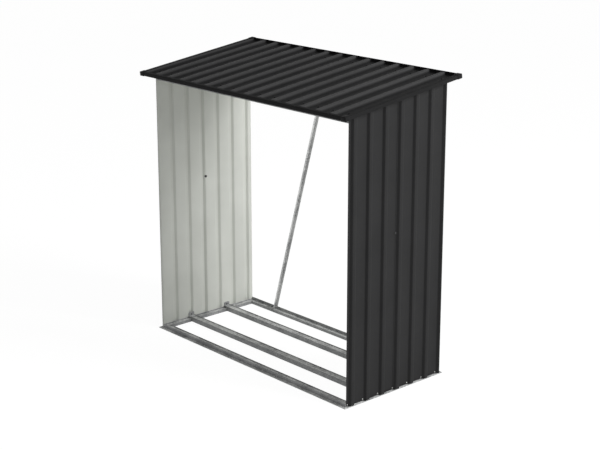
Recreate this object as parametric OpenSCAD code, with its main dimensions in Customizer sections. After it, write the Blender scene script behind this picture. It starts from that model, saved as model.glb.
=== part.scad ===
// Metal log store: a galvanised floor frame, two ribbed steel side walls and a
// ribbed lean-to roof that is low at the open front and high at the open rear.
// Millimetres. +X right, +Y to the rear, +Z up. The origin is on the floor,
// under the centre of the roof's outline.

/* [Floor frame] */
// Outer width of the floor frame
base_w = 1800; // [1200:10:2600]
// Outer depth of the floor frame
base_d = 828; // [600:2:1200]
// Width of the outer lip across the front and the rear
cross_lip_w = 26; // [20:1:40]
// Width of the outer lip that a wall's sheets stand on
side_lip_w = 19; // [19:1:40]
// Height of the upstand that the wall sheets are screwed to
rail_h = 24; // [20:1:40]
// Height of the rear rail's upstand, which holds the braces
rear_rail_h = 36; // [24:1:60]
// Width of the channel inside the upstand
channel_w = 36; // [28:1:70]
// Height of the channel's top
channel_h = 16; // [10:1:20]
// How far the channel's inner edge stands above its top
channel_edge = 5; // [2:0.5:8]
// Thickness of the folded floor rails
rail_t = 2; // [1.5:0.1:3]
// Diameter of the rolled outer edge
hem_d = 5; // [3:0.5:8]

/* [Floor beams] */
// Width of a floor beam
beam_w = 48; // [36:1:90]
// Height of a floor beam
beam_h = 32; // [26:1:50]
// How far a beam's web lies below its edges
beam_recess = 6; // [2:0.5:8]
// Distance between the middles of the two floor beams
beam_spacing = 308; // [200:2:400]
// Length of the bracket's foot on the beam
bracket_foot = 30; // [20:1:50]
// Height of the bracket's tab above the beam
bracket_tab = 22; // [15:1:40]

/* [Sheets] */
// Thickness of the wall and roof sheets
sheet_t = 1.5; // [1:0.1:2]
// Distance between the ribs
rib_pitch = 124; // [90:1:150]
// How far a rib stands out
rib_h = 16; // [8:0.5:16]
// Width of a rib's flat top
rib_top = 25; // [10:1:40]
// Width of each sloping side of a rib
rib_run = 10; // [6:1:16]
// Flat strip that laps onto the next sheet
lap_lip = 6; // [4:1:12]
// Place of the right wall's middle rib, to the rear of the wall's middle
right_rib_y = 22; // [-60:1:60]
// Place of the left wall's middle rib, to the rear of the wall's middle
left_rib_y = -32; // [-60:1:60]

/* [Roof] */
// Pitch of the roof
roof_pitch = 7.73; // [4:0.01:12]
// Height of the roof sheets' underside at the front edge
roof_front_z = 1715.5; // [1400:0.5:2100]
// Overhang of the roof sheets in front of the walls
front_overhang = 82; // [30:1:150]
// Overhang of the roof sheets behind the walls
rear_overhang = 74; // [30:1:150]
// Overhang of the roof sheets beyond each wall's inner face
side_overhang = 61.5; // [30:0.5:150]

/* [Roof trims] */
// Thickness of the roof trims
trim_t = 1.5; // [1:0.1:3]
// Height of the trims' faces
trim_h = 24; // [22:0.5:50]
// Depth of the front trim's top flange
front_flange = 20; // [8:1:40]
// Depth of the rear trim's top flange
rear_flange = 6; // [4:1:40]
// Width of the side trims' top flange
side_flange = 24; // [8:1:40]
// Width of the trims' lower return
trim_return = 15; // [8:1:30]
// Length of a corner cap's legs
cap_leg = 35; // [30:1:60]
// Thickness of a corner cap
cap_t = 2; // [1.5:0.5:4]

/* [Roof frame] */
// Height of the roof beams across the front and the rear
header_h = 45; // [30:1:70]
// Width of the roof beams' top flange
header_flange = 30; // [20:1:50]
// Height of the rails along the tops of the walls
top_rail_h = 35; // [20:1:60]
// Width of the top flange of those rails
top_rail_flange = 40; // [34:1:60]
// Thickness of the roof beams and rails
frame_t = 2; // [1.5:0.1:3]

/* [Rear braces] */
// Width of the braces' two legs
brace_leg = 20; // [15:1:30]
// Thickness of the braces
brace_t = 2; // [1.5:0.1:3]
// Distance of a brace's foot from the inside of its wall
brace_inset = 260; // [200:5:400]
// Distance of a brace's head from the middle of the roof beam
brace_head_x = 94; // [40:1:200]
// Gap between a brace's foot and the rear rail's channel
brace_gap = 1; // [0.5:0.5:6]

/* [Hidden] */
$fn = 24;

paint = [0.21, 0.21, 0.22];
zinc = [0.66, 0.68, 0.69];

wall_x = base_w / 2 - side_lip_w;            // inner face of a wall's flats
wall_d = base_d - 2 * cross_lip_w;           // depth of a wall
cross_w = cross_lip_w + channel_w;           // width of a front or rear rail
inner_x = base_w / 2 - side_lip_w - channel_w;  // inner edge of a side rail
inner_y = base_d / 2 - cross_w;              // inner edge of a front or rear rail
rib_foot = rib_top + 2 * rib_run;
roof_half = wall_x + side_overhang;
roof_plan = wall_d + front_overhang + rear_overhang;  // depth of the roof sheets in plan
roof_len = roof_plan / cos(roof_pitch);
trim_rise = rib_h + 2 * sheet_t + trim_t;    // top of the trims above the sheets' underside
trim_drop = trim_h - trim_rise;              // and their lower edge below it
roof_front_y = -(roof_plan + (trim_drop - trim_rise) * sin(roof_pitch)) / 2;
base_y = roof_front_y + front_overhang + wall_d / 2;
roof_ribs = 2 * ceil((roof_half - rib_foot / 2) / rib_pitch);
tall = 2 * roof_front_z;                     // more than the height of everything

// Height of the roof sheets' underside at depth y
function roof_z(y) = roof_front_z + (y - roof_front_y) * tan(roof_pitch);

// Outline of one rib of a sheet, with its middle at c, lifted where it laps over another rib
function rib(c, lift = 0) = [
    [c - rib_foot / 2, lift], [c - rib_top / 2, rib_h + lift],
    [c + rib_top / 2, rib_h + lift], [c + rib_foot / 2, 0]
];
function ribs(from, to, first) = [for (n = [from : 1 : to]) for (p = rib(first + n * rib_pitch)) p];

// Outline of a sheet from its lap over the rib at c, or from the flat at c
function lap_start(c) = concat([[c - rib_foot / 2 - lap_lip, sheet_t]], rib(c, sheet_t));
// Outline of a sheet's last rib, which the next sheet laps over
function lap_end(c) = [[c - rib_foot / 2, 0], [c - rib_top / 2, rib_h], [c + rib_top / 2, rib_h]];

// A sheet of thickness sheet_t under the outline, which runs along the first axis
module sheet_profile(outline) {
    n = len(outline);
    polygon(concat(outline, [for (i = [n - 1 : -1 : 0]) outline[i] - [0, sheet_t]]));
}

// Moves pieces drawn about the floor frame's centre to their place
module on_base() translate([0, base_y, 0]) children();

// Roof frame: X across, Y up the slope from the front edge, Z square to the sheets,
// with the underside of the sheets' flats at Z = 0
module on_roof() translate([0, roof_front_y, roof_front_z]) rotate([roof_pitch, 0, 0]) children();

// Everything below the roof sheets' underside, less a gap
module under_roof(gap) on_roof()
    translate([-base_w, -roof_len, -tall - gap]) cube([2 * base_w, 3 * roof_len, tall]);

// A box from one corner to the opposite one
module block(a, b) translate(a) cube(b - a);

// A rolled edge along X or along Y, lying on the floor
module hem_x(x0, x1, y) translate([x0, y, hem_d / 2]) rotate([0, 90, 0]) cylinder(d = hem_d, h = x1 - x0);
module hem_y(y0, y1, x) translate([x, y0, hem_d / 2]) rotate([-90, 0, 0]) cylinder(d = hem_d, h = y1 - y0);

// Floor rail across the front or the rear, drawn for the front edge: a lip with a rolled edge,
// an upstand, and a channel that stands on the floor
module cross_rail(upstand) {
    front = -base_d / 2;
    hem_y0 = front + hem_d / 2;
    hem_x0 = base_w / 2 - hem_d / 2;
    channel_x = wall_x - rail_t;
    block([-hem_x0, hem_y0, 0], [hem_x0, front + cross_lip_w + rail_t, rail_t]);
    block([-wall_x, front + cross_lip_w, 0], [wall_x, front + cross_lip_w + rail_t, upstand]);
    block([-channel_x, front + cross_lip_w, channel_h - rail_t], [channel_x, -inner_y, channel_h]);
    block([-channel_x, -inner_y - rail_t, 0], [channel_x, -inner_y, channel_h]);
    block([-inner_x, -inner_y - rail_t, 0], [inner_x, -inner_y, channel_h + channel_edge]);
    hem_x(-hem_x0, hem_x0, hem_y0);
    for (side = [-1, 1]) {
        block([side > 0 ? channel_x : -hem_x0, hem_y0, 0], [side > 0 ? hem_x0 : -channel_x, -inner_y, rail_t]);
        hem_y(hem_y0, -inner_y, side * hem_x0);
        translate([side * hem_x0, hem_y0, hem_d / 2]) sphere(d = hem_d);
    }
}

// Floor rail along a side, drawn for the right side
module side_rail() {
    hem_x0 = base_w / 2 - hem_d / 2;
    upstand_y = wall_d / 2 - rail_t;
    block([wall_x - rail_t, -inner_y, 0], [hem_x0, inner_y, rail_t]);
    block([wall_x - rail_t, -upstand_y, rail_t], [wall_x, upstand_y, rail_h]);
    block([inner_x, -inner_y, channel_h - rail_t], [wall_x - rail_t, inner_y, channel_h]);
    block([inner_x, -inner_y, 0], [inner_x + rail_t, inner_y, channel_h + channel_edge]);
    hem_y(-inner_y, inner_y, hem_x0);
}

// A floor beam between the walls, resting on the floor and on the side rails' channels:
// two upright sides and a web a little below their tops
module floor_beam(y) {
    w = beam_w / 2;
    web = beam_h - beam_recess;
    half = wall_x - rail_t;
    outline = [
        [-w, 0], [-w, beam_h], [-w + rail_t, beam_h], [-w + rail_t, web],
        [w - rail_t, web], [w - rail_t, beam_h], [w, beam_h], [w, 0],
        [w - rail_t, 0], [w - rail_t, web - rail_t], [-w + rail_t, web - rail_t], [-w + rail_t, 0]
    ];
    difference() {
        translate([-half, y, 0]) rotate([90, 0, 90]) linear_extrude(2 * half) polygon(outline);
        for (side = [-1, 1]) {
            block([side > 0 ? inner_x : -wall_x, y - beam_w, -1], [side > 0 ? wall_x : -inner_x, y + beam_w, channel_h]);
            block([side > 0 ? inner_x : -inner_x - rail_t, y - beam_w, -1],
                [side > 0 ? inner_x + rail_t : -inner_x, y + beam_w, channel_h + channel_edge]);
        }
    }
}

// Bracket at the right end of a beam: a foot on the beam's web and a tab against the wall
module beam_bracket(y) translate([0, y, beam_h - beam_recess]) {
    w = beam_w / 2 - rail_t;
    block([wall_x - bracket_foot, -w, 0], [wall_x, w, rail_t]);
    block([wall_x - rail_t, -w, 0], [wall_x, w, beam_recess + bracket_tab]);
}

// Wall sheets, drawn for the right wall: the front one ends on the rib at middle_y,
// and the rear one laps over it. They stand on the lip's rolled edge.
module wall_sheet(middle_y, rear) {
    near = ceil(wall_d / 2 / rib_pitch) + 1;
    outline = rear
        ? concat(lap_start(middle_y), ribs(1, near, middle_y))
        : concat(ribs(-near, -1, middle_y), lap_end(middle_y));
    intersection() {
        on_base() translate([wall_x + sheet_t, 0, hem_d]) linear_extrude(tall)
            rotate(90) mirror([0, 1]) sheet_profile(outline);
        on_base() block([0, -wall_d / 2, 0], [base_w, wall_d / 2, tall]);
        under_roof(1);
    }
}

// Roof sheet number i of four: it laps over the sheet on its left
module roof_sheet(i) {
    first = -(roof_ribs - 1) / 2 * rib_pitch;
    from = round((i - 1) * roof_ribs / 4);
    to = round(i * roof_ribs / 4);
    start = i == 1 ? ribs(-1, 0, first) : lap_start(first + from * rib_pitch);
    end = i == 4 ? ribs(to, to, first) : lap_end(first + to * rib_pitch);
    outline = concat(start, ribs(from + 1, to - 1, first), end);
    on_roof() intersection() {
        rotate([90, 0, 0]) translate([0, sheet_t, -roof_len]) linear_extrude(roof_len) sheet_profile(outline);
        block([-roof_half, -1, -1], [roof_half, roof_len + 1, trim_rise]);
    }
}

// Roof beam across the front (dir = 1) or the rear (dir = -1): an angle with its upright leg
// outside, whose flange follows the roof
module roof_beam(dir) {
    y0 = base_y - dir * wall_d / 2;
    function top(d) = roof_z(y0 + dir * d);
    section = [
        [0, roof_z(y0)], [header_flange, top(header_flange)],
        [header_flange, top(header_flange) - frame_t], [frame_t, top(frame_t) - frame_t],
        [frame_t, roof_z(y0) - header_h], [0, roof_z(y0) - header_h]
    ];
    translate([-wall_x, y0, 0]) rotate([90, 0, 90]) linear_extrude(2 * wall_x)
        polygon([for (p = section) [dir * p[0], p[1]]]);
}

// Rail along the top of the right wall, between the flanges of the roof beams
module top_rail() intersection() {
    on_roof() {
        block([wall_x - frame_t, -roof_len, -top_rail_h], [wall_x, 2 * roof_len, 0]);
        block([wall_x - top_rail_flange, -roof_len, -frame_t], [wall_x, 2 * roof_len, 0]);
    }
    translate([0, base_y, 0])
        block([0, header_flange - wall_d / 2, 0], [base_w, wall_d / 2 - header_flange, tall]);
}

// Brace of the left half of the open rear: an angle with one leg flat against the rear rail and
// the rear roof beam, and its other leg turned to the front
module rear_brace() {
    back = base_y + wall_d / 2 - max(rail_t, frame_t);
    foot_x = -wall_x + brace_inset;
    foot_z = channel_h + brace_gap + brace_leg / 2 * tan(roof_pitch);
    head_z = roof_z(back - header_flange) - 2 * frame_t - brace_leg;
    lean = atan((-brace_head_x - foot_x) / (head_z - foot_z));
    length = (head_z - foot_z) / cos(lean);
    lift = brace_leg / 2 * sin(lean);
    translate([foot_x, back, foot_z + lift]) rotate([0, lean, 0]) {
        block([-brace_leg / 2, -brace_t, 0], [brace_leg / 2, 0, length]);
        block([-brace_leg / 2, -brace_leg, 0], [brace_t - brace_leg / 2, 0, length]);
    }
}

// Trim across the front or the rear edge, drawn for the front: a face, a top flange over the
// ends of the ribs, and a lower return
module cross_trim(flange) {
    block([-roof_half, -trim_t, -trim_drop], [roof_half, 0, trim_rise]);
    block([-roof_half, -trim_t, trim_rise - trim_t], [roof_half, flange, trim_rise]);
    block([-roof_half, -trim_t, -trim_drop], [roof_half, trim_return, trim_t - trim_drop]);
}
// Trim along the right edge
module side_trim() {
    out = roof_half + trim_t;
    block([roof_half, -trim_t, -trim_drop], [out, roof_len + trim_t, trim_rise]);
    block([roof_half - side_flange, front_flange, trim_rise - trim_t], [out, roof_len - rear_flange, trim_rise]);
    block([roof_half - trim_return, trim_return, -trim_drop], [out, roof_len - trim_return, trim_t - trim_drop]);
}
// Cap over the front right corner of the trims
module corner_cap() {
    out = roof_half + trim_t;
    low = [out - cap_leg, -trim_t, -trim_drop];
    high = [out, cap_leg - trim_t, trim_rise];
    difference() {
        block(low - [0, cap_t, cap_t], high + [cap_t, 0, cap_t]);
        block(low - [1, 0, 0], high + [0, 1, 0]);
    }
}

module on_left() mirror([1, 0, 0]) children();
module at_rear() translate([0, roof_len, 0]) mirror([0, 1, 0]) children();

module front_floor_rail() color(zinc) on_base() cross_rail(rail_h);
module rear_floor_rail() color(zinc) on_base() mirror([0, 1, 0]) cross_rail(rear_rail_h);
module left_floor_rail() color(zinc) on_base() on_left() side_rail();
module right_floor_rail() color(zinc) on_base() side_rail();
module front_floor_beam() color(zinc) on_base() floor_beam(-beam_spacing / 2);
module rear_floor_beam() color(zinc) on_base() floor_beam(beam_spacing / 2);
module front_left_beam_bracket() color(zinc) on_base() on_left() beam_bracket(-beam_spacing / 2);
module front_right_beam_bracket() color(zinc) on_base() beam_bracket(-beam_spacing / 2);
module rear_left_beam_bracket() color(zinc) on_base() on_left() beam_bracket(beam_spacing / 2);
module rear_right_beam_bracket() color(zinc) on_base() beam_bracket(beam_spacing / 2);
module left_wall_front_sheet() color(paint) on_left() wall_sheet(left_rib_y, false);
module left_wall_rear_sheet() color(paint) on_left() wall_sheet(left_rib_y, true);
module right_wall_front_sheet() color(paint) wall_sheet(right_rib_y, false);
module right_wall_rear_sheet() color(paint) wall_sheet(right_rib_y, true);
module front_roof_beam() color(zinc) roof_beam(1);
module rear_roof_beam() color(zinc) roof_beam(-1);
module left_top_rail() color(zinc) on_left() top_rail();
module right_top_rail() color(zinc) top_rail();
module left_rear_brace() color(zinc) rear_brace();
module right_rear_brace() color(zinc) on_left() rear_brace();
module front_roof_trim() color(paint) on_roof() cross_trim(front_flange);
module rear_roof_trim() color(paint) on_roof() at_rear() cross_trim(rear_flange);
module left_roof_trim() color(paint) on_roof() on_left() side_trim();
module right_roof_trim() color(paint) on_roof() side_trim();
module front_left_corner_cap() color(paint) on_roof() on_left() corner_cap();
module front_right_corner_cap() color(paint) on_roof() corner_cap();
module rear_left_corner_cap() color(paint) on_roof() at_rear() on_left() corner_cap();
module rear_right_corner_cap() color(paint) on_roof() at_rear() corner_cap();

front_floor_rail();
rear_floor_rail();
left_floor_rail();
right_floor_rail();
front_floor_beam();
rear_floor_beam();
front_left_beam_bracket();
front_right_beam_bracket();
rear_left_beam_bracket();
rear_right_beam_bracket();
left_wall_front_sheet();
left_wall_rear_sheet();
right_wall_front_sheet();
right_wall_rear_sheet();
front_roof_beam();
rear_roof_beam();
left_top_rail();
right_top_rail();
left_rear_brace();
right_rear_brace();
color(paint) roof_sheet(1);  // roof_sheet_1
color(paint) roof_sheet(2);  // roof_sheet_2
color(paint) roof_sheet(3);  // roof_sheet_3
color(paint) roof_sheet(4);  // roof_sheet_4
front_roof_trim();
rear_roof_trim();
left_roof_trim();
right_roof_trim();
front_left_corner_cap();
front_right_corner_cap();
rear_left_corner_cap();
rear_right_corner_cap();
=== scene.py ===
"""Looks of the metal log store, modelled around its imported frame.

Metres, +X right, +Y to the rear, +Z up, as in the frame.
"""

import math

import bmesh
import bpy
from mathutils import Matrix, Vector


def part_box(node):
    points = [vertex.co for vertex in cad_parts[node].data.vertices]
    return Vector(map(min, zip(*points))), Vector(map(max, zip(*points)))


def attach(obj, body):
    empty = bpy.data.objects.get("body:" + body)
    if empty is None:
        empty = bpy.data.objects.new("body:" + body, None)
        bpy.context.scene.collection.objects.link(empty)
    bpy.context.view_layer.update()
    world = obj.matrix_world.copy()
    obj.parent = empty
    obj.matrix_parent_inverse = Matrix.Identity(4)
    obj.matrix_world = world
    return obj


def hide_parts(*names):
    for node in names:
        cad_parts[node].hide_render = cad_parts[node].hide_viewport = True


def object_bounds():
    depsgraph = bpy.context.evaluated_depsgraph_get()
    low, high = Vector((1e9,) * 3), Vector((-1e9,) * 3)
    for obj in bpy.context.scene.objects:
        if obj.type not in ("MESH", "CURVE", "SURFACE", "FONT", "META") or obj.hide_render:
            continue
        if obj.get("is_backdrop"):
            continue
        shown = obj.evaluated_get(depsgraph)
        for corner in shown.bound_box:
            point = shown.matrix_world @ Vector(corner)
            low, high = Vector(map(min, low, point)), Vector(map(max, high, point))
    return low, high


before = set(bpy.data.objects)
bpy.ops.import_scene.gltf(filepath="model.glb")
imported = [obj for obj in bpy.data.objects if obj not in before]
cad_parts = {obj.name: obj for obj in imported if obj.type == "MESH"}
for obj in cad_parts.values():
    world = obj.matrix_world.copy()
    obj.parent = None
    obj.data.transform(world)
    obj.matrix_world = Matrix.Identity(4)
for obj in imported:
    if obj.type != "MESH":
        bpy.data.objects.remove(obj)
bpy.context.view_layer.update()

# ---------------------------------------------------------------- sizes

MM = 0.001

SHEET_T = 1.5 * MM
RIB_PITCH = 124 * MM
RIB_H = 16 * MM
RIB_TOP = 25 * MM
RIB_FOOT = 45 * MM
LAP_LIP = 6 * MM
RIGHT_RIB_Y = 22 * MM
LEFT_RIB_Y = -32 * MM
ROOF_RIBS = 16
ROOF_SHEETS = 4
SHEET_FOLD_R = 3.5 * MM

ROOF_PITCH = math.radians(7.73)
TRIM_T = 1.5 * MM
TRIM_H = 24 * MM
TRIM_FOLD_R = 2.2 * MM
FRONT_FLANGE = 20 * MM
REAR_FLANGE = 6 * MM
SIDE_FLANGE = 24 * MM
TRIM_RETURN = 15 * MM
CAP_LEG = 35 * MM
CAP_T = 2 * MM

LIP_T = 2 * MM
HEM_D = 5 * MM
CROSS_LIP = 26 * MM
SIDE_LIP = 19 * MM
CHANNEL_H = 16 * MM
CHANNEL_EDGE_H = 21 * MM
FOLD_T = 1 * MM

BEAM_EDGE = 6 * MM
FRAME_T = 2 * MM
FRAME_FOLD_R = 2.5 * MM
TOP_RAIL_H = 35 * MM
HEADER_FLANGE = 30 * MM
BRACE_LEG = 20 * MM
BRACE_GAP = 1 * MM
BRACE_INSET = 260 * MM
BRACE_HEAD_X = 94 * MM

# ---------------------------------------------------------------- places, from the frame

wall_low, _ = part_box("right_wall_front_sheet")
_, rear_wall_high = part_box("right_wall_rear_sheet")
front_rail_low, front_rail_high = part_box("front_floor_rail")
rear_rail_low, rear_rail_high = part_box("rear_floor_rail")
side_rail_low, side_rail_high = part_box("right_floor_rail")
sheet_low, sheet_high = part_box("roof_sheet_1")

WALL_X = wall_low.x
WALL_FRONT = wall_low.y
WALL_REAR = rear_wall_high.y
WALL_MIDDLE = (WALL_FRONT + WALL_REAR) / 2
WALL_FOOT = wall_low.z
BASE_X = front_rail_high.x
INNER_X = side_rail_low.x
INNER_FRONT = front_rail_high.y
INNER_REAR = rear_rail_low.y
ROOF_HALF = -sheet_low.x
ROOF_FRONT = sheet_low.y + (RIB_H + SHEET_T) * math.sin(ROOF_PITCH)
ROOF_Z = sheet_low.z
ROOF_LEN = (sheet_high.y - ROOF_FRONT) / math.cos(ROOF_PITCH)
TRIM_RISE = RIB_H + 2 * SHEET_T + TRIM_T
TRIM_DROP = TRIM_H - TRIM_RISE

X = Vector((1, 0, 0))
Y = Vector((0, 1, 0))
Z = Vector((0, 0, 1))
UP_SLOPE = Vector((0, math.cos(ROOF_PITCH), math.sin(ROOF_PITCH)))
OFF_ROOF = Vector((0, -math.sin(ROOF_PITCH), math.cos(ROOF_PITCH)))
ROOF_CORNER = Vector((0, ROOF_FRONT, ROOF_Z))


def on_roof(x, y, z):
    """A point across, up the slope and off the sheets, as a place in the frame."""
    return ROOF_CORNER + x * X + y * UP_SLOPE + z * OFF_ROOF


def roof_under(y):
    """Height of the roof sheets' underside at depth y."""
    return ROOF_Z + (y - ROOF_FRONT) * math.tan(ROOF_PITCH)


# ---------------------------------------------------------------- camera

CAMERA_AT = Vector((6.2424, -5.5654, 3.3063))
CAMERA_TURN = math.radians(48.016)
CAMERA_DIP = math.radians(15.241)
CAMERA_LENS = 83.48
CAMERA_SHIFT = -0.05

lens = bpy.data.cameras.new("camera")
lens.lens = CAMERA_LENS
lens.sensor_width = 36
lens.shift_y = CAMERA_SHIFT
camera = bpy.data.objects.new("camera", lens)
camera.location = CAMERA_AT
camera.rotation_euler = (math.pi / 2 - CAMERA_DIP, 0, CAMERA_TURN)
bpy.context.scene.collection.objects.link(camera)
bpy.context.scene.camera = camera

# ---------------------------------------------------------------- materials


class Finish:
    """A material's nodes, on the object's own coordinates."""

    def __init__(self, name):
        self.material = bpy.data.materials.new(name)
        self.material.use_nodes = True
        self.tree = self.material.node_tree
        self.shader = self.tree.nodes["Principled BSDF"]
        self.place = self.add("ShaderNodeTexCoord").outputs["Object"]

    def add(self, kind, **settings):
        node = self.tree.nodes.new(kind)
        for key, value in settings.items():
            setattr(node, key, value)
        return node

    def join(self, source, target):
        self.tree.links.new(source, target)

    def noise(self, scale, detail=2.0):
        """Noise with about scale waves in a metre."""
        node = self.add("ShaderNodeTexNoise")
        node.inputs["Scale"].default_value = scale
        node.inputs["Detail"].default_value = detail
        self.join(self.place, node.inputs["Vector"])
        return node.outputs["Fac"]

    def spread(self, value, low, high, source_low=0.3, source_high=0.7):
        """The value's middle range stretched from low to high."""
        node = self.add("ShaderNodeMapRange")
        node.inputs["From Min"].default_value = source_low
        node.inputs["From Max"].default_value = source_high
        node.inputs["To Min"].default_value = low
        node.inputs["To Max"].default_value = high
        self.join(value, node.inputs["Value"])
        return node.outputs["Result"]

    def shades(self, value, dark, light, source_low=0.3, source_high=0.7):
        """A colour between dark and light."""
        ramp = self.add("ShaderNodeValToRGB")
        ramp.color_ramp.elements[0].position = source_low
        ramp.color_ramp.elements[0].color = (*dark, 1)
        ramp.color_ramp.elements[1].position = source_high
        ramp.color_ramp.elements[1].color = (*light, 1)
        self.join(value, ramp.inputs["Fac"])
        return ramp.outputs["Color"]

    def bump(self, value, strength, distance, under=None):
        node = self.add("ShaderNodeBump")
        node.inputs["Strength"].default_value = strength
        node.inputs["Distance"].default_value = distance
        self.join(value, node.inputs["Height"])
        if under is not None:
            self.join(under, node.inputs["Normal"])
        return node.outputs["Normal"]

    def set(self, **values):
        """Sets the shader's own sockets, by their names with spaces for underscores."""
        for key, value in values.items():
            socket = self.shader.inputs[key.replace("_", " ")]
            if isinstance(value, bpy.types.NodeSocket):
                self.join(value, socket)
            else:
                socket.default_value = value
        return self


def coil_paint(name, dark, light, roughness, shine, ridges=False):
    """Coil-coated steel: a fine grained paint, clouded a little between dark and light.
    With ridges, it is dark in the roof's flats and painted lighter on the tops of its ribs, a painted
    highlight."""
    finish = Finish(name)
    cloud = finish.noise(5, 3)
    if ridges:
        height = finish.add("ShaderNodeVectorMath", operation="DOT_PRODUCT")
        finish.join(finish.place, height.inputs[0])
        height.inputs[1].default_value = OFF_ROOF
        flats = ROOF_CORNER.dot(OFF_ROOF)
        # Painted highlight: the colour is lightened with the height off the roof's flats, so the rib tops
        # are lighter.
        ridge_highlight = finish.add("ShaderNodeMath", operation="MULTIPLY_ADD")
        finish.join(cloud, ridge_highlight.inputs[0])
        ridge_highlight.inputs[1].default_value = 0.2
        raised = finish.spread(height.outputs["Value"], 0.2, 0.6, flats + 0.3 * RIB_H, flats + RIB_H)
        finish.join(raised, ridge_highlight.inputs[2])
        cloud = ridge_highlight.outputs["Value"]
    grain = finish.noise(1400, 2)
    wave = finish.noise(3.5, 1)
    relief = finish.bump(wave, 0.25, 0.004)
    relief = finish.bump(grain, 0.16, 0.0002, relief)
    finish.set(
        Base_Color=finish.shades(cloud, dark, light),
        Roughness=finish.spread(finish.noise(22, 5), roughness - 0.05, roughness + 0.05),
        Normal=relief,
    )
    finish.shader.inputs["Specular IOR Level"].default_value = shine
    return finish.material


def hot_dip_zinc(name, dark, light, roughness, standing):
    """Galvanised steel: flat spangles, each of its own grey, under a thin cloudy bloom.
    Its standing faces are painted darker than its flat ones, by the share standing: painted shade."""
    finish = Finish(name)
    cells = finish.add("ShaderNodeTexVoronoi", feature="F1")
    cells.inputs["Scale"].default_value = 95
    cells.inputs["Randomness"].default_value = 1.0
    finish.join(finish.place, cells.inputs["Vector"])
    grey = finish.add("ShaderNodeRGBToBW")
    finish.join(cells.outputs["Color"], grey.inputs["Color"])
    bloom = finish.noise(9, 4)
    mixed = finish.add("ShaderNodeMath", operation="MULTIPLY_ADD")
    mixed.inputs[1].default_value = 0.45
    finish.join(grey.outputs["Val"], mixed.inputs[0])
    finish.join(finish.spread(bloom, 0.12, 0.62), mixed.inputs[2])
    # Painted shade: the colour is darkened on faces that stand upright, by how little their normal points up
    # or down.
    facing = finish.add("ShaderNodeNewGeometry")
    axes = finish.add("ShaderNodeSeparateXYZ")
    finish.join(facing.outputs["True Normal"], axes.inputs["Vector"])
    flat = finish.add("ShaderNodeMath", operation="ABSOLUTE")
    finish.join(axes.outputs["Z"], flat.inputs[0])
    facing_shade = finish.spread(flat.outputs["Value"], standing, 1.0, 0, 1)
    shaded_tone = finish.add("ShaderNodeMath", operation="MULTIPLY")
    finish.join(mixed.outputs["Value"], shaded_tone.inputs[0])
    finish.join(facing_shade, shaded_tone.inputs[1])
    finish.set(
        Base_Color=finish.shades(shaded_tone.outputs["Value"], dark, light, 0.1, 0.8),
        Roughness=finish.spread(grey.outputs["Val"], roughness - 0.07, roughness + 0.09, 0, 1),
        Normal=finish.bump(grey.outputs["Val"], 0.12, 0.0004),
        Metallic=0.12,
    )
    finish.shader.inputs["Specular IOR Level"].default_value = 0.3
    return finish.material


def small_part(name, dark, light, roughness, metallic, shine=0.5):
    """Plated, painted or moulded surface of a small part, faintly mottled."""
    finish = Finish(name)
    finish.set(
        Base_Color=finish.shades(finish.noise(160, 3), dark, light),
        Roughness=finish.spread(finish.noise(300, 2), roughness - 0.06, roughness + 0.06),
        Normal=finish.bump(finish.noise(900, 2), 0.1, 0.0002),
        Metallic=metallic,
    )
    finish.shader.inputs["Specular IOR Level"].default_value = shine
    return finish.material


PAINT = coil_paint("anthracite_coat", (0.0285, 0.0285, 0.0290), (0.0315, 0.0315, 0.0320), 0.46, 0.04)
# The walls' anthracite paint again: its flats are set a little darker than the walls' coat and its rib tops
# are painted lighter, which is painted shade and a painted highlight.
ROOF_PAINT = coil_paint("anthracite_roof", (0.0225, 0.0225, 0.0230), (0.065, 0.065, 0.066), 0.44, 0.05, True)
PRIMER = coil_paint("pale_primer", (0.64, 0.655, 0.61), (0.69, 0.705, 0.66), 0.5, 0.2)
# The walls' anthracite paint again, set darker on the trims to the level that their shaded faces read at:
# painted shade.
TRIM_PAINT = coil_paint("anthracite_trim", (0.0160, 0.0160, 0.0164), (0.0180, 0.0180, 0.0184), 0.46, 0.03)
CAP_PLASTIC = small_part("black_cap", (0.009, 0.009, 0.0095), (0.013, 0.013, 0.0135), 0.5, 0.0, 0.08)
# The floor frame's zinc has its standing faces painted darker, down to 0.38 of its flat ones, as painted
# shade. The braces' zinc has almost none.
ZINC = hot_dip_zinc("galvanised_zinc", (0.20, 0.205, 0.21), (0.78, 0.785, 0.78), 0.42, 0.38)
BRACE_ZINC = hot_dip_zinc("galvanised_brace", (0.26, 0.265, 0.27), (0.74, 0.745, 0.74), 0.42, 0.95)
SCREW_ZINC = small_part("screw_zinc", (0.45, 0.45, 0.44), (0.6, 0.6, 0.59), 0.34, 0.8)
SCREW_PAINT = small_part("screw_paint", (0.016, 0.016, 0.0165), (0.022, 0.022, 0.0225), 0.45, 0.0, 0.12)
DARK_BOLT = small_part("dark_bolt", (0.05, 0.05, 0.052), (0.09, 0.09, 0.092), 0.35, 0.6)
RUBBER = small_part("washer_rubber", (0.02, 0.02, 0.02), (0.035, 0.035, 0.034), 0.7, 0.0)

# ---------------------------------------------------------------- ways of making


def pick(piece):
    """Selects one piece and nothing else."""
    bpy.ops.object.select_all(action="DESELECT")
    piece.select_set(True)
    bpy.context.view_layer.objects.active = piece


def choose(piece, vert=None, edge=None, face=None):
    """In edit mode, selects what a test on verts, edges or faces says."""
    mesh = bmesh.from_edit_mesh(piece.data)
    for part in (mesh.verts, mesh.edges, mesh.faces):
        for item in part:
            item.select_set(False)
    kind, test = next((k, t) for k, t in (("VERT", vert), ("EDGE", edge), ("FACE", face)) if t)
    bpy.ops.mesh.select_mode(type=kind)
    mesh = bmesh.from_edit_mesh(piece.data)
    for item in {"VERT": mesh.verts, "EDGE": mesh.edges, "FACE": mesh.faces}[kind]:
        item.select_set(test(item))
    mesh.select_flush_mode()
    bmesh.update_edit_mesh(piece.data)


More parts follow.
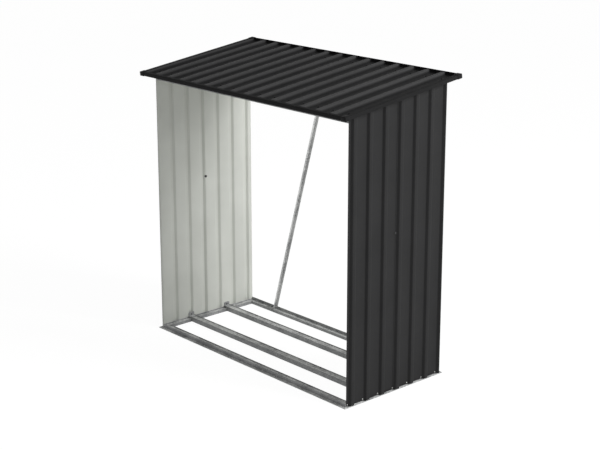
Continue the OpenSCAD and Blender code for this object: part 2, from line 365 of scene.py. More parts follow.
def fold_strip(name, section, near, far):
    """A strip from near to far along X, folded edge by edge along its section in Y and Z."""
    bpy.ops.object.select_all(action="DESELECT")
    bpy.ops.mesh.primitive_plane_add(size=1)
    piece = bpy.context.object
    piece.name = name
    bpy.ops.object.mode_set(mode="EDIT")
    choose(piece, vert=lambda v: v.co.y > 0)
    bpy.ops.mesh.delete(type="VERT")
    bpy.ops.mesh.select_all(action="SELECT")
    bpy.ops.transform.resize(value=(far - near, 1, 1))
    start = Vector(((near + far) / 2, section[0][0] + 0.5, section[0][1]))
    bpy.ops.transform.translate(value=start)
    for (y0, z0), (y1, z1) in zip(section, section[1:]):
        bpy.ops.mesh.extrude_region_move(TRANSFORM_OT_translate={"value": (0, y1 - y0, z1 - z0)})
    bpy.ops.object.mode_set(mode="OBJECT")
    return piece


def lay(piece, origin, along, across, out):
    """Moves a piece drawn along X, with its section in Y and Z, to its place."""
    turn = Matrix((along, across, out)).transposed().to_4x4()
    piece.matrix_world = Matrix.Translation(origin) @ turn
    pick(piece)
    bpy.ops.object.transform_apply(location=True, rotation=True, scale=True)
    return piece


def apply(piece, kind, **settings):
    """Adds a modifier and applies it."""
    modifier = piece.modifiers.new(kind.lower(), kind)
    for key, value in settings.items():
        setattr(modifier, key, value)
    pick(piece)
    bpy.ops.object.modifier_apply(modifier=modifier.name)
    return piece


def round_folds(piece, radius):
    """Rounds a sheet's folds."""
    return apply(
        piece, "BEVEL", width=radius, segments=3, limit_method="ANGLE",
        angle_limit=math.radians(20), use_clamp_overlap=True,
    )


def face_out(piece, out):
    """Turns an open strip's faces so that the widest of them look out."""
    widest = max(piece.data.polygons, key=lambda face: abs(face.normal.dot(out)) * face.area)
    if widest.normal.dot(out) < 0:
        pick(piece)
        bpy.ops.object.mode_set(mode="EDIT")
        bpy.ops.mesh.select_all(action="SELECT")
        bpy.ops.mesh.flip_normals()
        bpy.ops.object.mode_set(mode="OBJECT")
    return piece


def thicken(piece, thickness, offset=-1.0):
    """Gives a strip its thickness: offset -1 is inwards from its faces, 0 is both ways."""
    return apply(
        piece, "SOLIDIFY", thickness=thickness, offset=offset, use_even_offset=True,
        use_rim=True, material_offset=1, material_offset_rim=0,
    )


def cut(piece, point, normal, fill=False):
    """Cuts away what lies beyond a plane, on the side that its normal points to."""
    pick(piece)
    bpy.ops.object.mode_set(mode="EDIT")
    bpy.ops.mesh.select_all(action="SELECT")
    bpy.ops.mesh.bisect(plane_co=point, plane_no=normal, clear_outer=True, use_fill=fill)
    bpy.ops.object.mode_set(mode="OBJECT")
    return piece


def coat(piece, *materials):
    """Gives a piece its materials, the first outside and the second inside."""
    piece.data.materials.clear()
    for material in materials:
        piece.data.materials.append(material)
    return piece


def join(name, *pieces):
    """Joins pieces into one, with one name."""
    pick(pieces[0])
    for piece in pieces[1:]:
        piece.select_set(True)
    if len(pieces) > 1:
        bpy.ops.object.join()
    pieces[0].name = name
    return pieces[0]


def done(piece, slot, *nodes):
    """Turns all faces out, smooths the soft folds and hands the piece to the frame."""
    pick(piece)
    bpy.ops.object.mode_set(mode="EDIT")
    bpy.ops.mesh.select_all(action="SELECT")
    bpy.ops.mesh.normals_make_consistent(inside=False)
    bpy.ops.object.mode_set(mode="OBJECT")
    bpy.ops.object.shade_smooth_by_angle(angle=math.radians(35))
    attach(piece, "root")
    if nodes:
        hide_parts(*nodes)
    return piece


# ---------------------------------------------------------------- ribbed sheets


def rib_folds(centre, lift=0.0):
    """A rib's four folds as (place, height). Where it laps over another, its first half is
    lifted, and moved aside so that the slopes lie one on the other too."""
    slope = math.atan2(RIB_H, (RIB_FOOT - RIB_TOP) / 2)
    aside = lift * math.tan(slope / 2)
    return [
        (centre - RIB_FOOT / 2 - aside, lift),
        (centre - RIB_TOP / 2 - aside, RIB_H + lift),
        (centre + RIB_TOP / 2, RIB_H + lift),
        (centre + RIB_FOOT / 2, 0.0),
    ]


def height_at(folds, place):
    """Height of a section at a place along it."""
    for (a, za), (b, zb) in zip(folds, folds[1:]):
        if a <= place <= b:
            return za + (zb - za) * (place - a) / (b - a)
    return 0.0


def sheet_section(ribs, start, end, lap_from=None, lap_to=None):
    """Section of a sheet from start to end. It laps over the neighbour's rib at lap_from,
    and at lap_to it ends on its own rib, short of the far fold of the sheet that covers it."""
    folds = [fold for rib in ribs for fold in rib_folds(rib)]
    if lap_to is not None:
        folds += rib_folds(lap_to)[:3]
        end = lap_to + RIB_TOP / 2 - SHEET_FOLD_R
    if lap_from is not None:
        start = lap_from - RIB_FOOT / 2 - LAP_LIP
        folds = [(start, SHEET_T), *rib_folds(lap_from, SHEET_T), *folds]
    inside = [fold for fold in folds if start + 0.1 * MM < fold[0] < end - 0.1 * MM]
    return [(start, height_at(folds, start)), *inside, (end, height_at(folds, end))]


def wall_ribs(middle_rib):
    """Nine rib middles along a wall, the fifth nearest to its middle, where its sheets meet.
    Those past the wall's ends are left out by what uses them."""
    return [WALL_MIDDLE + middle_rib + n * RIB_PITCH for n in range(-4, 5)]


def wall_sheet(side, part, middle_rib):
    """One sheet of a wall: side is 1 for the right wall, and part is front or rear."""
    ribs = wall_ribs(middle_rib)
    if part == "front":
        section = sheet_section(ribs[:4], WALL_FRONT, None, lap_to=ribs[4])
    else:
        section = sheet_section(ribs[5:], None, WALL_REAR, lap_from=ribs[4])
    name = f"{'right' if side > 0 else 'left'}_wall_{part}_sheet"
    piece = fold_strip("ribbed_" + name, section, WALL_FOOT, ROOF_Z + ROOF_LEN * math.sin(ROOF_PITCH))
    lay(piece, Vector((side * (WALL_X + SHEET_T), 0, 0)), Z, Y, side * X)
    cut(piece, on_roof(0, 0, -1 * MM), OFF_ROOF)
    face_out(piece, side * X)
    round_folds(piece, SHEET_FOLD_R)
    coat(piece, PAINT, PRIMER)
    thicken(piece, SHEET_T)
    # Where a sheet starts on a rib's slope, its thickness stands out past the wall's end.
    if part == "front" and min(vert.co.y for vert in piece.data.vertices) < WALL_FRONT - 0.1 * MM:
        cut(piece, Vector((0, WALL_FRONT, 0)), -Y, fill=True)
    return done(piece, "anthracite_paint", name)


def roof_sheet(number):
    """One of the roof's sheets, numbered from the left."""
    first = -(ROOF_RIBS - 1) / 2 * RIB_PITCH
    ribs = [first + n * RIB_PITCH for n in range(ROOF_RIBS)]
    each = ROOF_RIBS // ROOF_SHEETS
    before, after = each * (number - 1), each * number
    section = sheet_section(
        ribs[before + (number > 1) : after],
        -ROOF_HALF,
        ROOF_HALF,
        lap_from=ribs[before] if number > 1 else None,
        lap_to=ribs[after] if number < ROOF_SHEETS else None,
    )
    piece = fold_strip(f"ribbed_roof_sheet_{number}", section, 0, ROOF_LEN)
    lay(piece, on_roof(0, 0, SHEET_T), UP_SLOPE, X, OFF_ROOF)
    face_out(piece, OFF_ROOF)
    round_folds(piece, SHEET_FOLD_R)
    coat(piece, ROOF_PAINT, PRIMER)
    thicken(piece, SHEET_T)
    return done(piece, "anthracite_paint", f"roof_sheet_{number}")


for wall_part in ("front", "rear"):
    wall_sheet(1, wall_part, RIGHT_RIB_Y)
    wall_sheet(-1, wall_part, LEFT_RIB_Y)
for sheet_number in range(1, ROOF_SHEETS + 1):
    roof_sheet(sheet_number)

# ---------------------------------------------------------------- floor frame


def bend(corners, steps=3):
    """A section's corners as (y, z, radius), each turned into an arc of its radius."""
    first, last = corners[0], corners[-1]
    path = [first[:2]]
    for before, here, after in zip(corners, corners[1:], corners[2:]):
        corner = Vector(here[:2])
        back = (Vector(before[:2]) - corner).normalized()
        on = (Vector(after[:2]) - corner).normalized()
        half = back.angle(on) / 2
        reach = here[2] / math.tan(half)
        centre = corner + (back + on).normalized() * (here[2] / math.sin(half))
        start = corner + back * reach - centre
        turn = math.pi - 2 * half
        sign = 1 if back.x * start.y - back.y * start.x > 0 else -1
        for step in range(steps + 1):
            a = sign * turn * step / steps
            path.append((
                centre.x + start.x * math.cos(a) - start.y * math.sin(a),
                centre.y + start.x * math.sin(a) + start.y * math.cos(a),
            ))
    path.append(last[:2])
    return path[:1] + [b for a, b in zip(path, path[1:]) if math.dist(a, b) > 0.02 * MM]


def rolled_hem():
    """The rolled edge of a rail's lip, from inside the roll to the lip."""
    radius = (HEM_D - FOLD_T) / 2
    middle = HEM_D / 2
    angles = [math.radians(angle) for angle in range(-20, 271, 29)]
    return [(middle + radius * math.cos(a), middle + radius * math.sin(a)) for a in angles]


HALF_T = FOLD_T / 2
TIGHT = 0.6 * MM
SOFT = 1.4 * MM


def rail_section(lip, upstand, web_to):
    """A rail's main fold: rolled edge, lip, doubled upstand, and the top of its channel."""
    outer = lip + LIP_T / 2 - TIGHT
    inner = lip + LIP_T / 2 + TIGHT
    folds = bend([
        (HEM_D / 2, HALF_T, 0),
        (outer, HALF_T, SOFT),
        (outer, upstand - HALF_T, TIGHT),
        (inner, upstand - HALF_T, TIGHT),
        (inner, CHANNEL_H - HALF_T, SOFT),
        (web_to, CHANNEL_H - HALF_T, 0),
    ])
    return rolled_hem()[:-1] + folds


def edge_section(reach):
    """The channel's inner leg, folded back over its own top as a raised edge."""
    outer = reach - LIP_T / 2 + TIGHT - 0.1 * MM
    inner = reach - LIP_T / 2 - TIGHT - 0.1 * MM
    return bend([
        (outer, 0.2 * MM, 0),
        (outer, CHANNEL_EDGE_H - HALF_T, TIGHT),
        (inner, CHANNEL_EDGE_H - HALF_T, TIGHT),
        (inner, CHANNEL_H, 0),
    ])


def lip_section(lip):
    """A rail's rolled edge and lip alone."""
    return rolled_hem() + [(lip, HALF_T)]


def zinc_strip(section, near, far, origin, along, across, out=Z):
    """A folded strip of galvanised sheet, laid in its place."""
    piece = fold_strip("strip", section, near, far)
    lay(piece, origin, along, across, out)
    return piece


def finish_zinc(name, pieces, thickness=FOLD_T):
    """Thickens open strips both ways and joins them as one galvanised piece."""
    for piece in pieces:
        thicken(piece, thickness, 0)
    whole = join("folded_" + name, *pieces)
    coat(whole, ZINC)
    return done(whole, "galvanised", name)


BASE_Y = (front_rail_low.y + rear_rail_high.y) / 2
CROSS_REACH = INNER_FRONT - front_rail_low.y
SIDE_REACH = BASE_X - INNER_X
SIDE_SPAN = (INNER_REAR - INNER_FRONT) / 2
UPSTAND_SPAN = (WALL_REAR - WALL_FRONT) / 2 - LIP_T
FRONT_REACH = WALL_FRONT - ROOF_FRONT


def cross_rail(name, edge_y, inward, upstand):
    """Rail across the front or the rear, with mitred rolled edges round its corners."""
    origin = Vector((0, edge_y, 0))
    along = inward * X
    across = inward * Y
    channel = WALL_X - LIP_T
    main = zinc_strip(rail_section(CROSS_LIP, upstand, CROSS_REACH - LIP_T), -channel, channel,
                      origin, along, across)
    edge = zinc_strip(edge_section(CROSS_REACH), -INNER_X, INNER_X, origin, along, across)
    pieces = [main, edge]
    for side in (-1, 1):
        corner = Vector((side * BASE_X, edge_y, 0))
        mitre = (side * X + across).normalized()
        front = zinc_strip(lip_section(SIDE_LIP + LIP_T), min(side * channel, side * BASE_X),
                           max(side * channel, side * BASE_X), origin, X, across)
        cut(front, corner, mitre)
        end = zinc_strip(lip_section(SIDE_LIP + LIP_T), 0, CROSS_REACH, corner, across, -side * X)
        cut(end, corner, -mitre)
        pieces += [front, end]
    return finish_zinc(name, pieces)


def side_rail(name, side):
    """Rail under a side wall, its upstand carried on over the ends of the cross rails."""
    origin = Vector((side * BASE_X, BASE_Y, 0))
    along = side * Y
    across = -side * X
    main = zinc_strip(rail_section(SIDE_LIP, side_rail_high.z, SIDE_REACH - LIP_T), -SIDE_SPAN,
                      SIDE_SPAN, origin, along, across)
    edge = zinc_strip(edge_section(SIDE_REACH), -SIDE_SPAN, SIDE_SPAN, origin, along, across)
    pieces = [main, edge]
    folded = bend([
        (SIDE_LIP + LIP_T / 2 - TIGHT, LIP_T, 0),
        (SIDE_LIP + LIP_T / 2 - TIGHT, side_rail_high.z - HALF_T, TIGHT),
        (SIDE_LIP + LIP_T / 2 + TIGHT, side_rail_high.z - HALF_T, TIGHT),
        (SIDE_LIP + LIP_T / 2 + TIGHT, LIP_T, 0),
    ])
    for near, far in ((-UPSTAND_SPAN, -SIDE_SPAN), (SIDE_SPAN, UPSTAND_SPAN)):
        pieces.append(zinc_strip(folded, near, far, origin, along, across))
    return finish_zinc(name, pieces)


cross_rail("front_floor_rail", front_rail_low.y, 1, front_rail_high.z)
cross_rail("rear_floor_rail", rear_rail_high.y, -1, rear_rail_high.z)
side_rail("left_floor_rail", -1)
side_rail("right_floor_rail", 1)


def trim_away(piece, planes, unwanted):
    """Cuts an open strip along planes, and removes the faces whose middle is unwanted."""
    pick(piece)
    bpy.ops.object.mode_set(mode="EDIT")
    for point, normal in planes:
        bpy.ops.mesh.select_all(action="SELECT")
        bpy.ops.mesh.bisect(plane_co=point, plane_no=normal)
    choose(piece, face=lambda face: unwanted(face.calc_center_median()))
    bpy.ops.mesh.delete(type="FACE")
    bpy.ops.object.mode_set(mode="OBJECT")
    return piece


def floor_beam(name):
    """A beam of one folded sheet: doubled sides and a web a little below their tops."""
    low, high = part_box(name)
    half = (high.y - low.y) / 2
    outer = half - LIP_T / 2 + TIGHT
    inner = half - LIP_T / 2 - TIGHT
    web = high.z - BEAM_EDGE - HALF_T
    side = [
        (outer, 0.2 * MM, 0),
        (outer, high.z - HALF_T, TIGHT),
        (inner, high.z - HALF_T, TIGHT),
        (inner, web, SOFT),
    ]
    section = bend([(-y, z, r) for y, z, r in side] + side[::-1])
    piece = zinc_strip(section, low.x, high.x, Vector((0, (low.y + high.y) / 2, 0)), X, Y)
    over_channel = CHANNEL_H + 0.2 * MM
    over_edge = CHANNEL_EDGE_H + 0.2 * MM
    edge_x = INNER_X - 0.2 * MM
    edge_end = INNER_X + LIP_T + 0.2 * MM
    planes = [(Vector((x, 0, 0)), X) for x in (-edge_x, edge_x, -edge_end, edge_end)]
    planes += [(Vector((0, 0, z)), Z) for z in (over_channel, over_edge)]

    def over_side_rail(place):
        if abs(place.x) < edge_x:
            return False
        return place.z < (over_edge if abs(place.x) < edge_end else over_channel)

    trim_away(piece, planes, over_side_rail)
    return finish_zinc(name, [piece])


floor_beam("front_floor_beam")
floor_beam("rear_floor_beam")


def clip_corners(piece, reach, is_corner):
    """Rounds the corners of an open plate."""
    pick(piece)
    bpy.ops.object.mode_set(mode="EDIT")
    choose(piece, vert=lambda vert: is_corner(vert.co))
    bpy.ops.mesh.bevel(offset=reach, segments=4, affect="VERTICES")
    bpy.ops.object.mode_set(mode="OBJECT")
    return piece


def beam_bracket(name):
    """An angle plate at a beam's end, with rounded corners on its foot and its tab."""
    low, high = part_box(name)
    side = 1 if high.x > 0 else -1
    reach = high.x - low.x
    half_t = FRAME_T / 2
    section = bend([
        (0, half_t, 0),
        (reach - half_t, half_t, 2.5 * MM),
        (reach - half_t, high.z - low.z, 0),
    ])
    inner = min(abs(low.x), abs(high.x))
    origin = Vector((side * inner, (low.y + high.y) / 2, low.z))
    half = (high.y - low.y) / 2
    piece = zinc_strip(section, -half, half, origin, -side * Y, side * X)
    ends = (abs(low.x + high.x) / 2 - reach / 2 + 0.1 * MM, high.z - 0.1 * MM)
    clip_corners(piece, 7 * MM, lambda co: abs(co.x) < ends[0] or co.z > ends[1])
    thicken(piece, FRAME_T, 0)
    piece.name = "rounded_" + name
    coat(piece, ZINC)
    return done(piece, "galvanised", name)


BRACKETS = (
    "front_left_beam_bracket", "front_right_beam_bracket",
    "rear_left_beam_bracket", "rear_right_beam_bracket",
)
for bracket in BRACKETS:
    beam_bracket(bracket)

# ---------------------------------------------------------------- roof frame and braces


def header(name, inward):
    """Angle across the front or the rear, its flange along the roof."""
    low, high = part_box(name)
    outside = low.y if inward > 0 else high.y
    flange = high.y - low.y
    half_t = FRAME_T / 2
    top = roof_under(outside)
    rise = inward * math.tan(ROOF_PITCH)
    section = bend([
        (half_t, low.z, 0),
        (half_t, top + half_t * rise - half_t, FRAME_FOLD_R),
        (flange, top + flange * rise - half_t, 0),
    ])
    piece = zinc_strip(section, low.x, high.x, Vector((0, outside, 0)), inward * X, inward * Y)
    return finish_zinc(name, [piece], FRAME_T - 0.1 * MM)


header("front_roof_beam", 1)
header("rear_roof_beam", -1)


def top_rail(name, side):
    """Angle along the top of a wall, between the flanges of the headers."""
    low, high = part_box(name)
    half_t = FRAME_T / 2
    flange = high.x - low.x
    section = bend([
        (half_t, -TOP_RAIL_H, 0),
        (half_t, -half_t, FRAME_FOLD_R),
        (flange, -half_t, 0),
    ])
    origin = on_roof(side * WALL_X, 0, 0)
    piece = zinc_strip(section, -ROOF_LEN, 2 * ROOF_LEN, origin, side * UP_SLOPE, -side * X, OFF_ROOF)
    cut(piece, Vector((0, low.y, 0)), -Y)
    cut(piece, Vector((0, high.y, 0)), Y)
    return finish_zinc(name, [piece], FRAME_T - 0.1 * MM)


top_rail("left_top_rail", -1)
top_rail("right_top_rail", 1)


def rear_brace(name, side):
    """Leaning angle of one half of the rear, one leg flat and the other turned to the front."""
    back = WALL_REAR - FRAME_T
    foot_x = -WALL_X + BRACE_INSET
    foot_z = CHANNEL_H + BRACE_GAP + BRACE_LEG / 2 * math.tan(ROOF_PITCH)
    under_flange = roof_under(back - HEADER_FLANGE) - 2 * FRAME_T
    head_z = under_flange - BRACE_LEG
    lean = math.atan((-BRACE_HEAD_X - foot_x) / (head_z - foot_z))
    length = (head_z - foot_z) / math.cos(lean)
    lift = BRACE_LEG / 2 * math.sin(lean)
    half_t = FRAME_T / 2
    section = bend([
        (BRACE_LEG / 2, -half_t, 0),
        (half_t - BRACE_LEG / 2, -half_t, FRAME_FOLD_R),
        (half_t - BRACE_LEG / 2, -BRACE_LEG, 0),
    ])
    up = Vector((math.sin(lean), 0, math.cos(lean)))
    over = Vector((math.cos(lean), 0, -math.sin(lean)))
    origin = Vector((foot_x, back, foot_z + lift))
    piece = fold_strip("folded_" + name, section, 0, length)
    lay(piece, origin, up, over, Y)
    thicken(piece, FRAME_T - 0.1 * MM, 0)
    if side > 0:
        pick(piece)
        bpy.ops.transform.mirror(constraint_axis=(True, False, False))
        bpy.ops.object.transform_apply(location=True, rotation=True, scale=True)
    coat(piece, BRACE_ZINC)
    return done(piece, "galvanised", name)


rear_brace("left_rear_brace", -1)
rear_brace("right_rear_brace", 1)

# ---------------------------------------------------------------- roof trims and caps

TOP = TRIM_RISE - TRIM_T / 2
BOTTOM = TRIM_T / 2 - TRIM_DROP


def trim_section(flange):
    """A trim's fold: top flange, face and lower return."""
    return bend([
        (flange, TOP, 0),
        (-TRIM_T / 2, TOP, TRIM_FOLD_R),
        (-TRIM_T / 2, BOTTOM, TRIM_FOLD_R),
        (TRIM_RETURN, BOTTOM, 0),
    ], steps=4)


def finish_trim(piece, name):
    """Thickens a roof trim and gives it its paint."""
    thicken(piece, TRIM_T, 0)
    piece.name = "folded_" + name
    coat(piece, TRIM_PAINT)
    return done(piece, "anthracite_paint", name)


def cross_trim(name, y, inward, flange):
    """Trim across the front or the rear of the roof."""
    piece = fold_strip(name, trim_section(flange), -ROOF_HALF, ROOF_HALF)
    lay(piece, on_roof(0, y, 0), inward * X, inward * UP_SLOPE, OFF_ROOF)
    return finish_trim(piece, name)


def side_trim(name, side):
    """Trim up a side of the roof, its flange and return notched for the cross trims."""
    piece = fold_strip(name, trim_section(SIDE_FLANGE - TRIM_T), -TRIM_T, ROOF_LEN + TRIM_T)
    ends = (FRONT_FLANGE, ROOF_LEN - REAR_FLANGE)
    return_ends = (TRIM_RETURN, ROOF_LEN - TRIM_RETURN)

    def notched(place):
        if place.z > TOP - 0.1 * MM:
            return not ends[0] < place.x < ends[1]
        if place.z < BOTTOM + 0.1 * MM:
            return not return_ends[0] < place.x < return_ends[1]
        return False

    trim_away(piece, [(Vector((x, 0, 0)), X) for x in (*ends, *return_ends)], notched)
    if side > 0:
        lay(piece, on_roof(ROOF_HALF, 0, 0), UP_SLOPE, -X, OFF_ROOF)
    else:
        lay(piece, on_roof(-ROOF_HALF, 0, 0), UP_SLOPE, X, OFF_ROOF)
    return finish_trim(piece, name)


cross_trim("front_roof_trim", 0, 1, FRONT_FLANGE)
cross_trim("rear_roof_trim", ROOF_LEN, -1, REAR_FLANGE)
side_trim("left_roof_trim", -1)
side_trim("right_roof_trim", 1)


def corner_cap(name):
    """A moulded cap pushed over a corner of the trims: an open box with round edges."""
    low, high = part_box(name)
    side = 1 if high.x > 0 else -1
    rear = low.y > 0
    out = ROOF_HALF + TRIM_T + CAP_T
    reach = CAP_LEG + CAP_T
    height = TRIM_RISE + TRIM_DROP + 2 * CAP_T
    middle = (TRIM_RISE - TRIM_DROP) / 2
    bpy.ops.object.select_all(action="DESELECT")
    bpy.ops.mesh.primitive_cube_add(size=1)
    piece = bpy.context.object
    piece.name = "moulded_" + name
    bpy.ops.object.mode_set(mode="EDIT")
    bpy.ops.mesh.select_all(action="SELECT")
    bpy.ops.transform.resize(value=(reach, reach, height))
    bpy.ops.transform.translate(value=(-reach / 2, reach / 2, middle))
    choose(piece, face=lambda face: face.normal.x < -0.9 or face.normal.y > 0.9)
    bpy.ops.mesh.delete(type="FACE")
    bpy.ops.object.mode_set(mode="OBJECT")
    face_out(piece, X)
    apply(piece, "BEVEL", width=3.2 * MM, segments=4, limit_method="ANGLE",
          angle_limit=math.radians(40))
    thicken(piece, CAP_T - 0.1 * MM)
    apply(piece, "BEVEL", width=0.5 * MM, segments=2, limit_method="ANGLE",
          angle_limit=math.radians(60))
    across = side * X
    along = -UP_SLOPE if rear else UP_SLOPE
    place = on_roof(side * out, ROOF_LEN + TRIM_T + CAP_T if rear else -TRIM_T - CAP_T, 0)
    lay(piece, place, across, along, OFF_ROOF)
    coat(piece, CAP_PLASTIC)
    return done(piece, "anthracite_paint", name)


for cap in (
    "front_left_corner_cap", "front_right_corner_cap",
    "rear_left_corner_cap", "rear_right_corner_cap",
):
    corner_cap(cap)

# ---------------------------------------------------------------- screws


def turned_disc(name, rings, sides):
    """A part turned from a stack of rings as (radius, height), modelled from a circle upwards."""
    bpy.ops.object.select_all(action="DESELECT")
    bpy.ops.mesh.primitive_circle_add(vertices=sides, radius=rings[0][0], fill_type="NGON")
    piece = bpy.context.object
    piece.name = name
    bpy.ops.object.mode_set(mode="EDIT")
    bpy.ops.mesh.select_all(action="SELECT")
    height = rings[0][1]
    radius = rings[0][0]
    bpy.ops.transform.translate(value=(0, 0, height))
    for ring_radius, ring_height in rings[1:]:
        bpy.ops.mesh.extrude_region_move(
            TRANSFORM_OT_translate={"value": (0, 0, ring_height - height)}
        )
        scale = ring_radius / radius
        bpy.ops.transform.resize(value=(scale, scale, 1), center_override=(0, 0, ring_height))
        height, radius = ring_height, ring_radius
    bpy.ops.object.mode_set(mode="OBJECT")
    return piece


def hex_screw(metal):
    """A hex-headed sheet screw on a rubber washer, standing on Z = 0."""
    washer = turned_disc("washer", [(6 * MM, 0), (6.4 * MM, 0.5 * MM), (6 * MM, 1.1 * MM)], 20)
    coat(washer, RUBBER)
    flange = turned_disc("flange", [
        (5.8 * MM, 1 * MM), (5.8 * MM, 1.5 * MM), (4.6 * MM, 2.2 * MM), (3.6 * MM, 2.3 * MM),
    ], 20)
    coat(flange, metal)
    head = turned_disc("head", [
        (4.3 * MM, 2.1 * MM), (4.3 * MM, 5 * MM), (3.7 * MM, 5.7 * MM), (2.2 * MM, 5.5 * MM),
    ], 6)
    coat(head, metal)
    return join("hex_screw", washer, flange, head)


def pan_screw(metal):
    """A low round-headed screw with a round recess, standing on Z = 0."""
    head = turned_disc("head", [
        (4.6 * MM, 0), (4.6 * MM, 0.7 * MM), (4.1 * MM, 1.7 * MM), (3 * MM, 2.5 * MM),
        (1.5 * MM, 2.8 * MM), (1.2 * MM, 1.6 * MM),
    ], 16)
    coat(head, metal)
    return head


def lap_bolt(metal):
    """A hex-headed bolt on a broad washer, standing on Z = 0."""
    washer = turned_disc("washer", [
        (8 * MM, 0), (8.4 * MM, 0.4 * MM), (8.4 * MM, 1.3 * MM), (8 * MM, 1.6 * MM),
    ], 24)
    coat(washer, RUBBER)
    head = turned_disc("head", [
        (5.6 * MM, 1.5 * MM), (5.8 * MM, 1.9 * MM), (5.8 * MM, 5.2 * MM), (5 * MM, 6 * MM),
    ], 6)
    coat(head, metal)
    return join("lap_bolt", washer, head)


def fix_screws(name, screw, places, slot):
    """Copies a screw to each place, given as (point, outward direction), as one piece."""
    copies = []
    for number, (point, out) in enumerate(places):
        fixed = screw.copy()
        fixed.data = screw.data.copy()
        bpy.context.scene.collection.objects.link(fixed)
        twist = Matrix.Rotation(0.37 * number, 4, "Z")
        turn = Vector(out).to_track_quat("Z", "Y").to_matrix().to_4x4()
        fixed.matrix_world = Matrix.Translation(point) @ turn @ twist
        copies.append(fixed)
    whole = join(name, *copies)
    pick(whole)
    bpy.ops.object.transform_apply(location=True, rotation=True, scale=True)
    return done(whole, slot)


zinc_hex = hex_screw(SCREW_ZINC)
painted_hex = hex_screw(SCREW_PAINT)
zinc_pan = pan_screw(SCREW_ZINC)
dark_pan = pan_screw(SCREW_PAINT)
bolt = lap_bolt(DARK_BOLT)

FOOT_SCREW_Z = 14.5 * MM
BOLT_Y = WALL_MIDDLE - 8 * MM
BOLT_Z = 980 * MM


def before_ribs(middle_rib):
    """Places just in front of each rib of a wall."""
    ribs = wall_ribs(middle_rib)
    places = [rib - RIB_FOOT / 2 - 7 * MM for rib in ribs]
    return [y for y in places if WALL_FRONT + 6 * MM < y < WALL_REAR - 6 * MM]


before_ribs_right = before_ribs(RIGHT_RIB_Y)
before_ribs_left = before_ribs(LEFT_RIB_Y)
for side, side_name, places in ((1, "right", before_ribs_right), (-1, "left", before_ribs_left)):
    out = side * X
    outside = side * (WALL_X + SHEET_T)
    inside = side * WALL_X
    fix_screws(f"{side_name}_wall_foot_screws", zinc_pan,
               [(Vector((outside, y, FOOT_SCREW_Z)), out) for y in places], "galvanised")
    fix_screws(f"{side_name}_wall_lap_bolt", bolt,
               [(Vector((outside, BOLT_Y, BOLT_Z)), out)], "galvanised")
    fix_screws(f"{side_name}_wall_lap_nut", bolt,
               [(Vector((inside, BOLT_Y, BOLT_Z)), -out)], "galvanised")

BRACKET_SCREW_Z = 38 * MM
for name in BRACKETS:
    low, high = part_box(name)
    side = 1 if high.x > 0 else -1
    middle = (low.y + high.y) / 2
    tab = Vector((side * (WALL_X - FRAME_T), middle, BRACKET_SCREW_Z))
    fix_screws(f"{name}_tab_screw", dark_pan, [(tab, -side * X)], "galvanised")
    foot = side * (WALL_X - 16 * MM)
    feet = [Vector((foot, middle + offset, low.z + FRAME_T)) for offset in (-11 * MM, 11 * MM)]
    fix_screws(f"{name}_foot_screws", zinc_pan, [(place, Z) for place in feet], "galvanised")

corner_x = (WALL_X + INNER_X) / 2
corner_y = (UPSTAND_SPAN + SIDE_SPAN) / 2
fix_screws("floor_corner_screws", zinc_pan, [
    (Vector((side * corner_x, BASE_Y + end * corner_y, CHANNEL_H)), Z)
    for side in (-1, 1) for end in (-1, 1)
], "galvanised")

roof_flats = [(n + 1 - ROOF_RIBS / 2) * RIB_PITCH for n in range(ROOF_RIBS - 1)]
to_flange = FRONT_REACH + HEADER_FLANGE / 2
for name, along in (
    ("front", to_flange / math.cos(ROOF_PITCH)),
    ("rear", (to_flange + WALL_REAR - WALL_FRONT - HEADER_FLANGE) / math.cos(ROOF_PITCH)),
):
    fix_screws(f"{name}_roof_screws", painted_hex, [
        (on_roof(x, along, SHEET_T), OFF_ROOF) for x in roof_flats
    ], "anthracite_paint")

for side, side_name, places in ((1, "right", before_ribs_right), (-1, "left", before_ribs_left)):
    outside = side * (WALL_X + SHEET_T)
    fix_screws(f"{side_name}_wall_top_screws", painted_hex, [
        (Vector((outside, y, roof_under(y) - TOP_RAIL_H / 2)), side * X) for y in places
    ], "anthracite_paint")

for name in ("left_rear_brace", "right_rear_brace"):
    low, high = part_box(name)
    side = 1 if low.x > 0 else -1
    lean = side * (BRACE_HEAD_X + BRACE_INSET - WALL_X) / (high.z - low.z)
    face = WALL_REAR - 2 * FRAME_T
    foot_x = side * (WALL_X - BRACE_INSET)
    reach = 14 * MM
    fix_screws(f"{name}_screws", zinc_hex, [
        (Vector((foot_x + lean * reach, face, low.z + reach)), -Y),
        (Vector((side * BRACE_HEAD_X - lean * reach, face, high.z - reach)), -Y),
    ], "galvanised")

for spare in (zinc_hex, painted_hex, zinc_pan, dark_pan, bolt):
    bpy.data.objects.remove(spare, do_unlink=True)

# ---------------------------------------------------------------- floor and light

FLOOR_WHITE = 0.88
FLOOR_GLOW = 1.1
FLOOR_GLOW_SHARE = 0.86

bpy.ops.object.select_all(action="DESELECT")
bpy.ops.mesh.primitive_plane_add(size=60)
ground = bpy.context.object
ground.name = "studio_floor"
floor_finish = Finish("studio_floor_white")
floor_finish.set(Base_Color=(FLOOR_WHITE, FLOOR_WHITE, FLOOR_WHITE, 1), Roughness=0.9)
floor_finish.shader.inputs["Specular IOR Level"].default_value = 0.0
glow = floor_finish.add("ShaderNodeEmission")
glow.inputs["Strength"].default_value = FLOOR_GLOW
path = floor_finish.add("ShaderNodeLightPath")
seen = floor_finish.add("ShaderNodeMath", operation="MAXIMUM")
floor_finish.join(path.outputs["Is Camera Ray"], seen.inputs[0])
floor_finish.join(path.outputs["Is Glossy Ray"], seen.inputs[1])
share = floor_finish.add("ShaderNodeMath", operation="MULTIPLY")
share.inputs[1].default_value = FLOOR_GLOW_SHARE
floor_finish.join(seen.outputs["Value"], share.inputs[0])
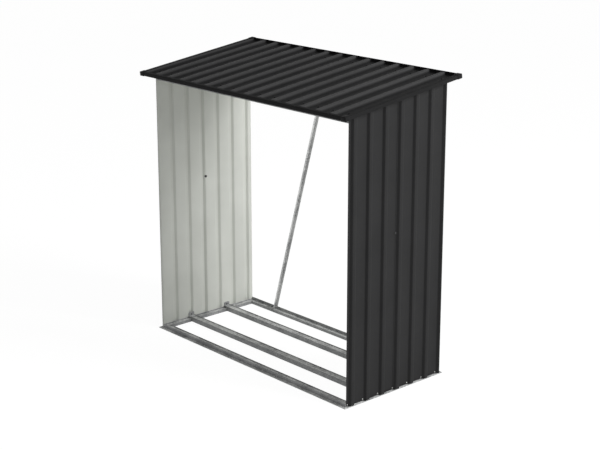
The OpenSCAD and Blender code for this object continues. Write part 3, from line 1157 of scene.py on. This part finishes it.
blend = floor_finish.add("ShaderNodeMixShader")
floor_finish.join(share.outputs["Value"], blend.inputs["Fac"])
floor_finish.join(floor_finish.shader.outputs["BSDF"], blend.inputs[1])
floor_finish.join(glow.outputs["Emission"], blend.inputs[2])
output = floor_finish.tree.nodes["Material Output"]
floor_finish.join(blend.outputs["Shader"], output.inputs["Surface"])
coat(ground, floor_finish.material)
ground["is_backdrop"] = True

SKY_ZENITH = 0.28
SKY_SIDE = 0.60
HORIZON_LOW = 0.03
HORIZON_TOP = 0.25

world = bpy.data.worlds.new("studio")
bpy.context.scene.world = world
world.use_nodes = True
sky = world.node_tree
background = sky.nodes["Background"]
background.inputs["Color"].default_value = (1, 1, 1, 1)
sky_path = sky.nodes.new("ShaderNodeLightPath")
sky_place = sky.nodes.new("ShaderNodeTexCoord")
sky_axes = sky.nodes.new("ShaderNodeSeparateXYZ")
sky.links.new(sky_place.outputs["Generated"], sky_axes.inputs["Vector"])
horizon = sky.nodes.new("ShaderNodeMapRange")
horizon.interpolation_type = "SMOOTHSTEP"
horizon.inputs["From Min"].default_value = HORIZON_TOP
horizon.inputs["From Max"].default_value = HORIZON_LOW
sky.links.new(sky_axes.outputs["Z"], horizon.inputs["Value"])
seen_glossy = sky.nodes.new("ShaderNodeMath")
seen_glossy.operation = "MULTIPLY"
sky.links.new(sky_path.outputs["Is Glossy Ray"], seen_glossy.inputs[0])
sky.links.new(horizon.outputs["Result"], seen_glossy.inputs[1])
sky_seen = sky.nodes.new("ShaderNodeMath")
sky_seen.operation = "MAXIMUM"
sky.links.new(sky_path.outputs["Is Camera Ray"], sky_seen.inputs[0])
sky.links.new(seen_glossy.outputs["Value"], sky_seen.inputs[1])
sky_seen_any = sky.nodes.new("ShaderNodeMath")
sky_seen_any.operation = "MAXIMUM"
sky.links.new(sky_seen.outputs["Value"], sky_seen_any.inputs[0])
sky.links.new(sky_path.outputs["Is Transmission Ray"], sky_seen_any.inputs[1])
sky_dimming = sky.nodes.new("ShaderNodeMapRange")
sky_dimming.inputs["From Max"].default_value = 0.7
sky_dimming.inputs["To Min"].default_value = SKY_SIDE
sky_dimming.inputs["To Max"].default_value = SKY_ZENITH
sky.links.new(sky_axes.outputs["Z"], sky_dimming.inputs["Value"])
sky_level = sky.nodes.new("ShaderNodeMapRange")
sky_level.inputs["To Max"].default_value = 1.0
sky.links.new(sky_dimming.outputs["Result"], sky_level.inputs["To Min"])
sky.links.new(sky_seen_any.outputs["Value"], sky_level.inputs["Value"])
sky.links.new(sky_level.outputs["Result"], background.inputs["Strength"])


def soft_lamp(name, place, target, size, power):
    """A square soft box that looks at a target."""
    lamp = bpy.data.lights.new(name, "AREA")
    lamp.shape = "SQUARE"
    lamp.size = size
    lamp.energy = power
    holder = bpy.data.objects.new(name, lamp)
    holder.location = place
    holder.rotation_mode = "QUATERNION"
    holder.rotation_quaternion = (Vector(target) - Vector(place)).to_track_quat("-Z", "Y")
    bpy.context.scene.collection.objects.link(holder)


soft_lamp("key_right_rear", (6.0, 2.2, 4.3), (0, 0, 0.9), 2.4, 370)

view = bpy.context.scene.view_settings
view.view_transform = "Standard"

# ---------------------------------------------------------------- sizes

low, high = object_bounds()
